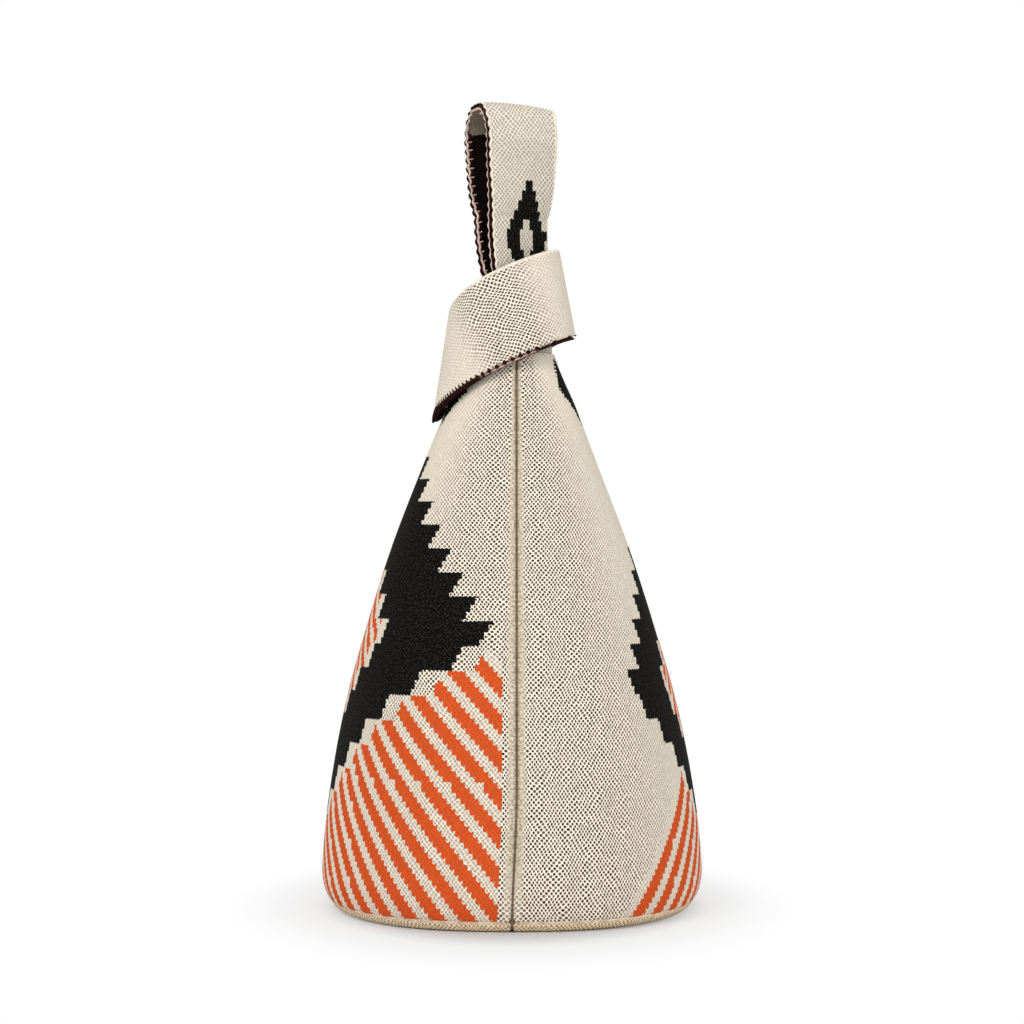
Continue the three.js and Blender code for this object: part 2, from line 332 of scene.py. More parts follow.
class Value:
    """The output of a node. Python's operators on it add Math nodes."""

    __add__ = math_node("ADD")
    __radd__ = math_node("ADD", reflected=True)
    __sub__ = math_node("SUBTRACT")
    __rsub__ = math_node("SUBTRACT", reflected=True)
    __mul__ = math_node("MULTIPLY")
    __rmul__ = math_node("MULTIPLY", reflected=True)
    __truediv__ = math_node("DIVIDE")
    __rtruediv__ = math_node("DIVIDE", reflected=True)
    __mod__ = math_node("FLOORED_MODULO")
    __lt__ = math_node("LESS_THAN")
    __gt__ = math_node("GREATER_THAN")
    __abs__ = math_node("ABSOLUTE")
    floor = math_node("FLOOR")
    least = math_node("MINIMUM")
    most = math_node("MAXIMUM")

    def __init__(self, finish, socket):
        self.finish = finish
        self.socket = socket

    def output(self, name):
        return Value(self.finish, self.socket.node.outputs[name])

    def ramp(self, low, high):
        """Rises smoothly from 0 to 1 as the value goes from low to high."""
        sockets = {"Value": self, "From Min": low, "From Max": high}
        return self.finish.node("MapRange", sockets, interpolation_type="SMOOTHSTEP")


class Finish:
    """A material, or the world, being made from nodes."""

    def __init__(self, owner):
        owner.use_nodes = True
        self.owner = owner
        self.tree = owner.node_tree
        self.tree.nodes.clear()

    def node(self, kind, sockets=None, **settings):
        """The first output of a new node. Its sockets take plain values or other nodes' outputs."""
        made = self.tree.nodes.new("ShaderNode" + kind)
        for name, value in settings.items():
            setattr(made, name, value)
        for name, value in (sockets or {}).items():
            if isinstance(value, Value):
                self.tree.links.new(value.socket, made.inputs[name])
            else:
                made.inputs[name].default_value = value
        return Value(self, made.outputs[0]) if made.outputs else None

    def noise(self, place, scale, detail):
        return self.node("TexNoise", {"Vector": place, "Scale": scale, "Detail": detail})

    def split(self, vector):
        """The first part of a vector. The others are its Y and Z outputs."""
        return self.node("SeparateXYZ", {"Vector": vector})

    def mix(self, share, start, end, blend="MIX"):
        sockets = {MIX_SHARE: share, MIX_FROM: start, MIX_TO: end}
        return self.node("Mix", sockets, data_type="RGBA", blend_type=blend).output(MIX_COLOUR)

    def cloth(self, shade, roughness, height, relief):
        bump = self.node("Bump", {"Height": height, "Distance": relief, "Strength": 1.0})
        sockets = {"Base Color": shade, "Roughness": roughness, "Normal": bump, "Specular IOR Level": GLOSS}
        self.node("OutputMaterial", {"Surface": self.node("BsdfPrincipled", sockets)})
        return self.owner


# Finishes

def colour(red, green, blue):
    """A colour from 0 to 255 as it is seen, turned into the linear one that a shader takes."""
    shares = [value / 255 for value in (red, green, blue)]
    linear = [share / 12.92 if share <= 0.04045 else ((share + 0.055) / 1.055) ** 2.4 for share in shares]
    return (*linear, 1.0)


WHITE = (1.0, 1.0, 1.0, 1.0)
CREAM = colour(237, 230, 217)
# Painted shade: the short strap's and the carrying strap's cream are darker copies of CREAM, toned down for
# the light on them
BAND_SHADED_CREAM = colour(233, 226, 214)
STRAP_SHADED_CREAM = colour(227, 221, 209)
BASE_CREAM = colour(240, 222, 194)
ROLL_CREAM = colour(234, 224, 206)
BLACK = colour(11, 11, 11)
ORANGE = colour(222, 90, 38)
REVERSE_BLACK = colour(24, 17, 14)
REVERSE_CREAM = colour(150, 138, 122)
MAROON = colour(46, 22, 19)
PALE_PINK = colour(228, 200, 184)
MAUVE = colour(198, 158, 146)
# Painted shade: the side and middle seams' thread is brown, with the shade of the groove it lies in painted
# into it
SEAM_SHADE_BROWN = colour(116, 98, 78)
PINHOLE_SHADE = colour(44, 34, 20)  # painted shade in a pinhole: what it leaves of the yarn's light
HALO_SHADE = colour(196, 172, 138)  # painted shade round a pinhole, the same way
LIP_SHADE_DARK = colour(160, 150, 134)  # painted shade, mottled, of the smooth cloth beside a side seam
LIP_SHADE_LIGHT = colour(232, 224, 212)
LIP_MOTTLE = (0.35, 0.65)  # by the fuzz
SHEEN_GREY = colour(78, 74, 70)  # painted sheen: light that the nap of the coloured yarns catches
SHEEN_SHARE = 0.3
SHEEN_RANGE = (0.42, 0.66)  # of the fuzz
CLOSED_LIGHT = (0.87, 0.84, 0.78, 1.0)  # painted light of a close knit
OPEN_HIGHLIGHT = (1.18, 1.14, 1.09, 1.0)  # painted highlight on the strands where the knit is drawn open
UNEVENNESS = 0.08  # of one stitch, or bit of fuzz, beside another
KNIT_ROUGHNESS = (0.85, 1.0)
KNIT_RELIEF = 0.45 * MM

# Stitches and pinholes
STITCH = 2 * COURSE  # height of a stitch of the pattern
TOOTH = 1.1  # how far a stitch's two legs rise above its foot
HOLE_CORE = 0.25  # radius of a pinhole's dark middle, as a share of the way to the next one
HOLE_RIM = 0.44  # radius at which the yarn is full again
HOLE_WIDTHS = (0.93, 1.07)  # chance sizes
HOLE_DEPTHS = (0.85, 1.0)
HOLE_STRAY = 0.1  # how unevenly the pinholes lie
# Reach and strength of the painted shade round a pinhole
HALO_RIM = 0.72
HALO_SHARE = 0.22
ROW_PULL = 1.7  # how far the rows are pulled out of line, in stitches
PULL_SCALE = 0.12  # how often to a millimetre
FUZZ_SCALE = 0.9
FUZZ_HEIGHT = 0.3  # beside the depth of a pinhole

# Where the knit is open and where it is smooth
CLOSED_SHARE = 0.2  # openness that is left where the pinholes close
CLOSE_KNIT = 0.35  # openness of the reverse and the seams
STRAP_OPENNESS = 0.5
BASE_OPENNESS = 0.7
BAND_OPENNESS = (0.95, CLOSED_SHARE)  # over the neck, and past it
BAND_OPEN = (8.0, 26.0)  # distance from the band's middle at which its pinholes close
OPEN_WIDTH = (0.85, 16.0)  # a panel's close at this share of its half width, less this much
OPEN_SHARE = (0.3, 1.0)  # shares of that width from which and by which they do
SHOULDER_OPEN = (0.0, 40.0)  # distance below the short strap at which they do
LIP_SMOOTH = (0.8, 3.5)  # the pinholes open this far from a side seam
LIP_SCALE = (0.6, 40.0)  # a distance from the seam counts by this, and by this over the panel's half width
LIP_END = (4.0, 24.0)  # distance below a strap at which the smooth lips run out
LIP_FOOT = (12.0, 40.0)  # course heights over which they come in
LIP_FOOT_SHARE = 0.2  # share of them that is left below

# Pattern. A lozenge lies across and up the cloth.
NARROWEST = 1.5 * WALE  # half width of the pattern's narrowest tip
PANEL_STEP = 5 * STITCH  # height of one step of the lozenges on the panels
STRAP_STEP = 2 * STITCH
STRIPE = 7.0  # stitches from one stripe to the next
STRIPE_SHARE = 0.55
STRIPE_CLOSING = 0.6  # of the knit, between coloured rows
SEAM_MARGIN = 5.2
HEART = 0.44  # size of the lozenge's striped heart
HOLLOW = 0.5  # size of the ground round it
CORNER_RING = 1.09  # the striped corners start here outside the lozenge
FRONT_LOZENGE = {"across": 0.0, "up": 128.0, "half_width": 108.0, "half_height": 98.0}
FRONT_STRIPES = 7.0  # this many stripes up from the seam's foot
BACK_LOZENGE = {"across": 0.0, "up": 104.0, "half_width": 76.0, "half_height": 84.0}
BACK_STRIPES = -3.0
COLLAR = {"across": 10.5, "up": 250.0, "half_width": 9.5, "half_height": 18.0}  # at the neck
STRAP_LOZENGE = {"across": 2.0, "up": 72.0, "half_width": 12.5, "half_height": 30.0}
STRAP_HOLLOW = 0.4
STRAP_BAR = (-9.0, 12.5)  # its middle past the crown, and half its height

# Sewing yarns
YARN_NAP = 1400.0  # how often to a metre
YARN_PATCHES = 260.0
PATCH_RANGE = (0.35, 0.75)
PATCH_SHARE = 0.6  # how much darker the patches are, and the nap
NAP_DARKENS = 0.25
YARN_DARK = 0.45  # the dark yarn beside the light one
ROLL_DARK = 0.7
YARN_ROUGHNESS = (0.8, 0.95)
YARN_RELIEF = 0.15 * MM


def knit_finish(name, dye, openness, lips=False):
    """Double knit: rows of pinholes, each set half a stitch aside.

    dye() gives a stitch's colour and tells where more than one yarn closes the knit. openness() tells how
    open the pinholes are, from 0 to 1. With lips, the cloth is smooth beside a side seam, in painted shade.
    The colour also carries painted shade in and round the pinholes, a painted highlight on the strands
    between them and painted sheen on the coloured yarns.
    """
    finish = Finish(bpy.data.materials.new(name))
    place = finish.node("UVMap", uv_map="stitches")
    u = finish.split(place)
    v = u.output("Y")

    pull = finish.noise(place, PULL_SCALE, detail=0.0) * ROW_PULL
    legs = {"X": u / WALE + v / STITCH + pull, "Y": u / WALE - v / STITCH + pull}
    net = {"Vector": finish.node("CombineXYZ", legs), "Scale": 1.0, "Randomness": HOLE_STRAY}
    from_hole = finish.node("TexVoronoi", net, voronoi_dimensions="2D")
    chance = finish.split(from_hole.output("Color"))
    sized = from_hole / lerp(*HOLE_WIDTHS, chance)
    hole = (1 - sized.ramp(HOLE_CORE, HOLE_RIM)) * lerp(*HOLE_DEPTHS, chance.output("Y"))
    halo_shade = 1 - from_hole.ramp(HOLE_CORE, HALO_RIM)

    column = (u / WALE).floor()
    lift = abs(u / WALE - column - 0.5) * TOOTH
    course = ((v - lift) / STITCH).floor()
    yarn, figured = dye(finish, u, (column + 0.5) * WALE, (course + 0.5) * STITCH)
    open_knit = openness(finish, u, v) * lerp(1, CLOSED_SHARE, figured)
    hole = hole * open_knit

    fuzz = finish.noise(place, FUZZ_SCALE, detail=3.0)
    # A painted highlight on the strands, the stronger where the knit is open
    strand_highlight = finish.mix(open_knit, CLOSED_LIGHT, OPEN_HIGHLIGHT)
    # Painted shade in each pinhole and round it
    light = finish.mix(hole, finish.mix(halo_shade * open_knit * HALO_SHARE, strand_highlight, HALO_SHADE), PINHOLE_SHADE)
    # Painted shade, mottled by the fuzz, on the smooth lips beside a side seam
    if lips:
        smooth = finish.mix(fuzz.ramp(*LIP_MOTTLE), LIP_SHADE_DARK, LIP_SHADE_LIGHT)
        light = finish.mix(past_lips(finish, u, v), smooth, light)
    light = finish.mix(1.0, light, 1 - (chance.output("Z") + fuzz) * UNEVENNESS, "MULTIPLY")
    shade = finish.mix(1.0, yarn, light, "MULTIPLY")
    # Painted sheen: flecks of grey light on the coloured yarns
    nap = from_hole.ramp(HOLE_CORE, HOLE_RIM) * fuzz.ramp(*SHEEN_RANGE) * figured
    shade = finish.mix(nap * SHEEN_SHARE, shade, SHEEN_GREY)
    return finish.cloth(shade, lerp(*KNIT_ROUGHNESS, fuzz), 1 - hole + fuzz * FUZZ_HEIGHT, KNIT_RELIEF)


def panel_place(finish):
    """Distance to a panel's middle line. Its Y output is the distance below the short strap."""
    return finish.split(finish.node("UVMap", uv_map="panel"))


def past_lips(finish, u, v):
    """0 on the smooth lips beside a side seam, which run out at neck and foot, and 1 past them."""
    away = panel_place(finish)
    kept = away.output("Y").ramp(*LIP_END) * lerp(LIP_FOOT_SHARE, 1, v.ramp(*LIP_FOOT))
    from_seam = u * (LIP_SCALE[0] + LIP_SCALE[1] / (u + away))
    return from_seam.ramp(*LIP_SMOOTH).most(1 - kept)


def open_beside_seam(finish, u, v):
    """Pinholes stretched open beside a side seam, closing towards the panel's middle and the short strap."""
    away = panel_place(finish)
    width = (u + away) * OPEN_WIDTH[0] - OPEN_WIDTH[1]
    across = lerp(1, CLOSED_SHARE, (u / width).ramp(*OPEN_SHARE))
    upward = lerp(CLOSED_SHARE, 1, away.output("Y").ramp(*SHOULDER_OPEN))
    return past_lips(finish, u, v) * across * upward


def open_on_band(finish, u, v):
    """Pinholes stretched open where the band lies over the neck."""
    return lerp(*BAND_OPENNESS, abs(v).ramp(*BAND_OPEN))


def evenly_open(amount):
    return lambda finish, u, v: amount + 0 * u


close_knit = evenly_open(CLOSE_KNIT)


def from_lozenge(lozenge, across, up):
    """Distance from a lozenge's middle, 1 at its edge."""
    aside = abs(across - lozenge["across"]) / lozenge["half_width"]
    return aside + abs(up - lozenge["up"]) / lozenge["half_height"]


def stepped(height, step):
    return ((height / step).floor() + 0.5) * step


def plain_dye(yarn):
    return lambda finish, u, stitch_u, stitch_v: (yarn, 0)


def panel_dye(lozenge, stripe_count, ground, figure, stripe):
    """A stepped lozenge with a striped heart, striped corners below it and a small lozenge at the neck."""

    def dye(finish, u, stitch_u, stitch_v):
        place = panel_place(finish)
        away = (place + u - stitch_u).most(NARROWEST)
        off_seam = stitch_u > SEAM_MARGIN
        ring = from_lozenge(lozenge, away, stepped(stitch_v, PANEL_STEP))
        on_loop_side = place.output("Y") > LEFT_SHOULDER_HEIGHT
        collar = (from_lozenge(COLLAR, away, stitch_v) < 1) * on_loop_side
        figures = ((ring < 1) * (ring > HOLLOW) * off_seam).most(collar)
        slanting = (stitch_v / STITCH - stitch_u / WALE) / STRIPE
        corner = (ring > CORNER_RING) * (slanting < stripe_count) * off_seam
        stripes = ((ring < HEART) + corner).least(1)
        dyed = stripes * ((slanting % 1) < STRIPE_SHARE)
        yarn = finish.mix(dyed, finish.mix(figures, ground, figure), stripe)
        return yarn, dyed.most(figures).most(stripes * STRIPE_CLOSING)

    return dye


def strap_dye(ground, figure):
    """A small stepped lozenge on the near strap, and a broad bar on the far strap below the crown."""

    def dye(finish, u, stitch_u, stitch_v):
        ring = from_lozenge(STRAP_LOZENGE, stitch_u, stepped(stitch_v, STRAP_STEP))
        bar = abs(stitch_v - STRAP_BAR[0]) < STRAP_BAR[1]
        figures = ((ring < 1) * (ring > STRAP_HOLLOW)).most(bar)
        return finish.mix(figures, ground, figure), figures

    return dye


def panel_finishes(panel, lozenge, stripe_count):
    face = panel_dye(lozenge, stripe_count, CREAM, BLACK, ORANGE)
    reverse = panel_dye(lozenge, stripe_count, REVERSE_BLACK, REVERSE_CREAM, REVERSE_CREAM)
    return (
        knit_finish(panel + " jacquard", face, open_beside_seam, lips=True),
        knit_finish("reverse of the " + panel, reverse, close_knit),
    )


def yarn_finish(name, yarn, dark_share=YARN_DARK):
    """Twisted yarn: uneven in colour, with a fine nap."""
    finish = Finish(bpy.data.materials.new(name))
    place = finish.node("TexCoord").output("Object")
    nap = finish.noise(place, YARN_NAP, detail=3.0)
    patches = finish.noise(place, YARN_PATCHES, detail=1.0)
    dark = tuple(dark_share * part for part in yarn[:3]) + (1.0,)
    shade = finish.mix(patches.ramp(*PATCH_RANGE) * PATCH_SHARE + nap * NAP_DARKENS, yarn, dark)
    return finish.cloth(shade, lerp(*YARN_ROUGHNESS, nap), nap, YARN_RELIEF)


cream_knit = knit_finish("cream knit", plain_dye(CREAM), close_knit)
base_knit = knit_finish("base knit", plain_dye(BASE_CREAM), evenly_open(BASE_OPENNESS))
band_knit = knit_finish("band knit", plain_dye(BAND_SHADED_CREAM), open_on_band)
cream_reverse = knit_finish("reverse of the cream knit", plain_dye(REVERSE_BLACK), close_knit)
strap_knit = knit_finish("strap knit", strap_dye(STRAP_SHADED_CREAM, BLACK), evenly_open(STRAP_OPENNESS))
strap_reverse = knit_finish("reverse of the strap knit", strap_dye(REVERSE_BLACK, REVERSE_CREAM), close_knit)
front_finishes = panel_finishes("front", FRONT_LOZENGE, FRONT_STRIPES)
back_finishes = panel_finishes("back", BACK_LOZENGE, BACK_STRIPES)
maroon_yarn = yarn_finish("maroon overlock yarn", MAROON)
pale_yarn = yarn_finish("pale overlock yarn", PALE_PINK)
mauve_yarn = yarn_finish("mauve overlock yarn", MAUVE)
rolled_yarn = yarn_finish("rolled cream edge", ROLL_CREAM, ROLL_DARK)
# Brown thread with the groove's shade painted in
seam_shade_yarn = yarn_finish("seam thread", SEAM_SHADE_BROWN)
base_yarn = yarn_finish("base seam thread", BASE_CREAM)


# Making meshes

YARN_ROUNDNESS = 2
NUDGE = 0.1  # either way, to read a line's direction


def mesh_from(name, bm):
    for face in bm.faces:
        face.smooth = True
    mesh = bpy.data.meshes.new(name)
    bm.to_mesh(mesh)
    bm.free()
    return mesh


def add_object(name, data):
    made = bpy.data.objects.new(name, data)
    bpy.context.scene.collection.objects.link(made)
    return made


def add_piece(name, bm, finishes):
    mesh = mesh_from(name, bm)
    for finish in finishes:
        mesh.materials.append(finish)
    return add_object(name, mesh)


def add_mesh(bm, mesh, finish_index):
    """A mesh with its finish, added to one that is being made, as its points."""
    first_vert = len(bm.verts)
    first_face = len(bm.faces)
    bm.from_mesh(mesh)
    bm.verts.ensure_lookup_table()
    bm.faces.ensure_lookup_table()
    for face in bm.faces[first_face:]:
        face.material_index = finish_index
    return bm.verts[first_vert:]


def facing(grid):
    """Normals of a grid of points, out of the side that its rows climb anticlockwise on."""
    return unit(np.cross(np.gradient(grid, axis=1), np.gradient(grid, axis=0)))


def knit_sheet(name, middle, thick, maps, finishes, flat_rims=None, split=None, normals=None):
    """A closed sheet of cloth round a grid of points on its middle layer.

    thick is its thickness and maps its places on the cloth, at each point. Past the column split, a face
    takes its places from the second map of a pair. flat_rims marks where the cloth is cut square, to run on.
    """
    rows, columns = middle.shape[:2]
    count = rows * columns
    offset = (facing(middle) if normals is None else normals) * (thick / 2)[..., None]
    bm = bmesh.new()
    for layer in (middle + offset, middle - offset):
        made = bmesh.ops.create_grid(bm, x_segments=columns - 1, y_segments=rows - 1, size=1)
        for vert, place in zip(made["verts"], layer.reshape(-1, 3) * MM):
            vert.co = place
    bm.faces.ensure_lookup_table()
    half = len(bm.faces) // 2
    bmesh.ops.reverse_faces(bm, faces=bm.faces[half:])
    for face in bm.faces[half:]:
        face.material_index = 1
    bmesh.ops.bridge_loops(bm, edges=[edge for edge in bm.edges if edge.is_boundary])
    bm.verts.index_update()
    if flat_rims is not None:
        marked = flat_rims.reshape(-1)
        for edge in bm.edges:
            ends = [vert.index for vert in edge.verts]
            same_layer = (ends[0] < count) == (ends[1] < count)
            if same_layer and all(marked[end % count] for end in ends):
                edge.smooth = False
    for map_name, places in maps.items():
        uv_layer = bm.loops.layers.uv.new(map_name)
        pair = places if isinstance(places, tuple) else (places, places)
        pair = [part.reshape(-1, 2) for part in pair]
        for face in bm.faces:
            past = split is not None and max(vert.index % columns for vert in face.verts) > split
            for corner in face.loops:
                corner[uv_layer].uv = pair[past][corner.vert.index % count]
    return add_piece(name, bm, finishes)


def sheet_area(middle):
    """Area of a grid of points, in square metres."""
    edges = np.diff(middle, axis=0)[:, :-1], np.diff(middle, axis=1)[:-1]
    return float(np.linalg.norm(np.cross(*edges), axis=-1).sum()) * MM**2


def sheet_edge(middle, column):
    """A sheet's edge as points, with the directions off the edge and out of the cloth's face at each."""
    inner = 1 if column == 0 else -2
    return middle[:, column], unit(middle[:, column] - middle[:, inner]), facing(middle)[:, column]


def cut_ends(middle):
    ends = np.zeros(middle.shape[:2], bool)
    ends[[0, -1]] = True
    return ends


def sampled(line, places, values):
    """Values that belong to a line's points, read at distances along the line."""
    return np.stack([np.interp(places, along(line), values[:, axis]) for axis in range(3)], axis=-1)


def add_tube(bm, line, radius, finish_index):
    """A round yarn along a line, added to a mesh that is being made. Its radius may change on the way."""
    curve = bpy.data.curves.new("yarn", "CURVE")
    curve.dimensions = "3D"
    curve.bevel_depth = MM
    curve.bevel_resolution = YARN_ROUNDNESS
    curve.use_fill_caps = True
    spline = curve.splines.new("POLY")
    spline.points.add(len(line) - 1)
    spline.points.foreach_set("co", np.column_stack((line * MM, np.ones(len(line)))).ravel())
    spline.points.foreach_set("radius", np.broadcast_to(radius, len(line)).astype(float))
    holder = bpy.data.objects.new("yarn", curve)
    mesh = bpy.data.meshes.new_from_object(holder)
    add_mesh(bm, mesh, finish_index)
    bpy.data.meshes.remove(mesh)
    bpy.data.objects.remove(holder)
    bpy.data.curves.remove(curve)


def make_thread(name, line, radius, finish):
    bm = bmesh.new()
    add_tube(bm, line, radius, 0)
    return add_piece(name, bm, (finish,))


def even_places(edge, pitch, first=0.5):
    return np.arange(first * pitch, along(edge[0])[-1], pitch)


def stitch_along(bm, stitch, edge, places, finish_index, growth=None):
    """Copies of a stitch along an edge. growth() tells how much longer and narrower one is at its place."""
    line, off, out = edge
    before, at, after = (sampled(line, places + nudge, line) for nudge in (-NUDGE, 0, NUDGE))
    directions = unit(after - before), sampled(line, places, off), sampled(line, places, out)
    for place, ahead, away, face in zip(at, *directions):
        away = unit(away - ahead * np.dot(away, ahead))
        up = np.cross(ahead, away) * np.sign(np.dot(np.cross(ahead, away), face))
        turn = Matrix(np.column_stack((np.cross(away, up), away, up))).to_4x4()
        length = growth(place) if growth else 1
        shape = Matrix.Diagonal((min(1 / length, 1), length, 1, 1))
        matrix = Matrix.Translation(Vector(place * MM)) @ turn @ shape
        bmesh.ops.transform(bm, matrix=matrix, verts=add_mesh(bm, stitch, finish_index))


# Panels and base

FOOT = RIM_HEIGHT + SEAT
CORNER = 2.4  # radius at which a panel's lower corners round off towards the side seams
LIP = 0.4  # how far the cloth stands up beside a side seam
LIP_PLACE = 2.1
LIP_WIDTH = 1.3
MIDDLE_SEAM_END = 8.0  # the base's middle seam ends this far inside the foot
SEAM_THREAD = 0.9  # radius of the thread that shows in a seam's groove
BASE_THREAD = 1.0
BASE_THREAD_START = 2.0  # distance from a side seam
SEAM_PINCH = 1.4  # radius of the tuck where three seams meet
SEAM_SUNK = 0.3
SEAM_WANDER = 2.0
WANDER_TOP = 60.0  # height by which the seam has strayed
WANDER_WIDTH = 32.0  # the cloth beside the seam goes with it
BASE_SEAM_TURNS = (0.03, 0.97)  # where its allowance starts and ends
SLUMP = 0.7
SLUMP_ASIDE = (6.0, 40.0)  # distances from a seam over which it starts
SLUMP_START = (12.0, 60.0)  # heights over which it starts, and over which it ends
SLUMP_END = (150.0, 200.0)
SLUMP_WAVES = (17.0, 41.0, 23.0)  # lengths of its waves: across, slanting, up
SLUMP_PHASE = 0.8

# How finely they are meshed
PANEL_COLUMNS = 171
PANEL_ROWS = 150
BASE_COLUMNS = 171
BASE_ROWS = 40
RIM_ROWS = 14
ALLOWANCE_COLUMNS = 9
SIDE_SEAM_ROWS = 90
BASE_SEAM_ROWS = 160
MIDDLE_SEAM_ROWS = 80
PINCH_STEPS = 30
SIDE_THREAD_STEPS = 120
BASE_THREAD_STEPS = 220
RIM_THREAD_STEPS = 10
COURSE_STEPS = 500


def row_heights(top):
    """Heights of a panel's rows under an upper edge at top: crowded at the foot and at the edge."""
    level = np.concatenate((ROLL, np.full(PANEL_ROWS, ROLL_REACH), 2 * ROLL_REACH - ROLL[::-1]))
    share = np.concatenate((0 * ROLL, np.linspace(0, 1, PANEL_ROWS + 2)[1:-1], 0 * ROLL + 1))
    return FOOT + level[:, None] + share[:, None] * (top - FOOT - 2 * ROLL_REACH)


def turn_at(distance, height, side):
    """Turn at which the wall is this far from a side seam."""
    share = np.minimum(distance / (depth_at(height, side) - SEAM_GAP / 2), 1)
    return np.arcsin(share ** (SQUARENESS / 2)) / math.pi


def corner_cut(height):
    inside = np.clip(CORNER + FOOT - height, 0, CORNER)
    return CORNER - np.sqrt(CORNER**2 - inside**2)


def columns_between(right, left, count):
    """Turns from the columns beside the right seam to those beside the left one."""
    between = lerp(right[:, -1:], left[:, :1], np.linspace(0, 1, count + 2)[None, 1:-1])
    return np.concatenate((right, between, left), axis=1)


def course_height(height):
    """Distance up the wall, as the courses of the knit count it."""
    heights = np.linspace(0, NECK_HEIGHT + ROLL_REACH, COURSE_STEPS)
    return np.interp(height, heights, along(point(right_at(heights), 0, heights)))


def outside_first(side, grid):
    """A grid in the order that turns its faces out of the bag."""
    return grid[:, ::-1] if side < 0 else grid


def wander(height):
    """How far the right side seam strays to the back."""
    return SEAM_WANDER * smoothstep(height, 0, WANDER_TOP)


def slump(distance, height):
    """Slight unevenness of cloth that carries its own weight."""
    across, slant, up = SLUMP_WAVES
    waves = np.sin(distance / across + height / slant) * np.sin(height / up + SLUMP_PHASE)
    slack = smoothstep(distance, *SLUMP_ASIDE) * smoothstep(height, *SLUMP_START)
    return SLUMP * waves * slack * (1 - smoothstep(height, *SLUMP_END))


def make_panel(name, side, finishes):
    """A panel, with the edge at its mouth, its flat size and its area."""
    right_heights = row_heights(NECK_HEIGHT)
    left_heights = row_heights(LEFT_SHOULDER_HEIGHT)
    right = turn_at(ROLL[None] + corner_cut(right_heights), right_heights, side)
    left = 1 - turn_at(ROLL[None, ::-1] + corner_cut(left_heights), left_heights, side)
    turn = outside_first(side, columns_between(right, left, PANEL_COLUMNS))
    top = upper_edge(turn)
    height = row_heights(top)
    middle = oval(turn, side, height)

    from_first = along(middle[..., :2], axis=1)
    from_last = from_first[:, -1:] - from_first
    from_right, from_left = (from_first, from_last)[::side]
    centre = turn.shape[1] // 2
    right_half, left_half = from_right[:, centre:centre + 1], from_left[:, centre:centre + 1]
    in_right = from_right <= right_half
    to_seam = np.where(in_right, from_right, from_left)
    to_centre = np.where(in_right, right_half, left_half) - to_seam
    below_strap = np.where(in_right, NECK_HEIGHT, top - height)
    courses = course_height(height)
    maps = {
        "stitches": (point(from_first, courses), point(from_last, courses)),
        "panel": point(to_centre, below_strap),
    }

    lip = LIP * np.exp(-(((to_seam - LIP_PLACE) / LIP_WIDTH) ** 2))
    middle = middle + facing(middle) * (lip + slump(to_seam, height))[..., None]
    middle[..., 1] += wander(height) * np.exp(-((from_right / WANDER_WIDTH) ** 2))
    open_edge = (turn > NECK_SHARE) & (turn < STRAP_SHARE)
    thick = CLOTH * rolled(to_seam) * rolled(height - FOOT)
    thick = np.where(open_edge, thick * rolled(top - height), thick)
    flat_rims = ~open_edge & (np.arange(len(turn)) == len(turn) - 1)[:, None]
    piece = knit_sheet(name, middle, thick, maps, finishes, flat_rims, centre)
    mouth = open_edge[-1]
    edge = middle[-1, mouth], unit(middle[-1, mouth] - middle[-2, mouth]), facing(middle)[-1, mouth]
    flat = (float(from_right.max()) * MM, float(courses.max() - courses.min()) * MM)
    return piece, edge, flat, sheet_area(middle)


def make_base(name, side):
    """Half of the base: flat from the middle seam to the foot of the oval, then round up to the wall."""
    right = turn_at(ROLL[None], RIM_HEIGHT, side)
    turn = columns_between(right, 1 - right[:, ::-1], BASE_COLUMNS)
    foot = oval(turn, side, CLOTH / 2)
    seam_end = FOOT_REACH - MIDDLE_SEAM_END
    middle_seam = point(np.linspace(seam_end, -seam_end, turn.shape[1])[None], side * SEAM_GAP / 2, CLOTH / 2)
    shares = with_rolls(FOOT_REACH, BASE_ROWS)[: -len(ROLL)] / FOOT_REACH
    flat = lerp(middle_seam, foot, shares[:, None, None])
    rim = oval(turn, side, rim_heights(np.sin(np.linspace(0, math.pi / 2, RIM_ROWS)))[:, None])
    middle = outside_first(side, np.concatenate((flat, rim)))
    to_rim = np.linalg.norm(middle - middle[-1:], axis=-1)
    to_middle = np.abs(middle[..., 1]) - SEAM_GAP / 2
    thick = CLOTH * rolled(to_rim) * rolled(to_middle)
    from_middle = along(middle)
    maps = {"stitches": point(along(middle[-1])[None], from_middle[-1:] - from_middle)}
    normals = facing(middle)
    normals[: len(flat)] = (0, 0, -1)
    piece = knit_sheet(name, middle, thick, maps, (base_knit, cream_reverse), normals=normals)
    return piece, (BELLY_WIDTH * MM, BELLY_DEPTH / 2 * MM), sheet_area(middle)


def make_allowance(name, edge_points, inner_points, thickness):
    """Seam allowance: a strip of cloth from the seam to its inner edge."""
    width = float(np.linalg.norm(inner_points - edge_points, axis=-1).mean())
    share = np.linspace(0, 1, ALLOWANCE_COLUMNS)
    middle = lerp(edge_points[:, None], inner_points[:, None], share[None, :, None])
    to_edge = np.minimum(share, 1 - share) * width
    lengthways = along(edge_points)
    to_end = np.minimum(lengthways, lengthways[-1] - lengthways)
    thick = thickness * rolled(to_edge)[None] * rolled(to_end)[:, None]
    maps = {"stitches": point(share[None] * width, lengthways[:, None])}
    return knit_sheet(name + "_cloth", middle, thick, maps, (cream_knit, cream_knit))


def seam_line(turn, heights):
    """Middle of a side seam's groove."""
    line = oval(turn, 1, heights)
    line[:, 1] = wander(heights) if turn < 0.5 else 0
    return line


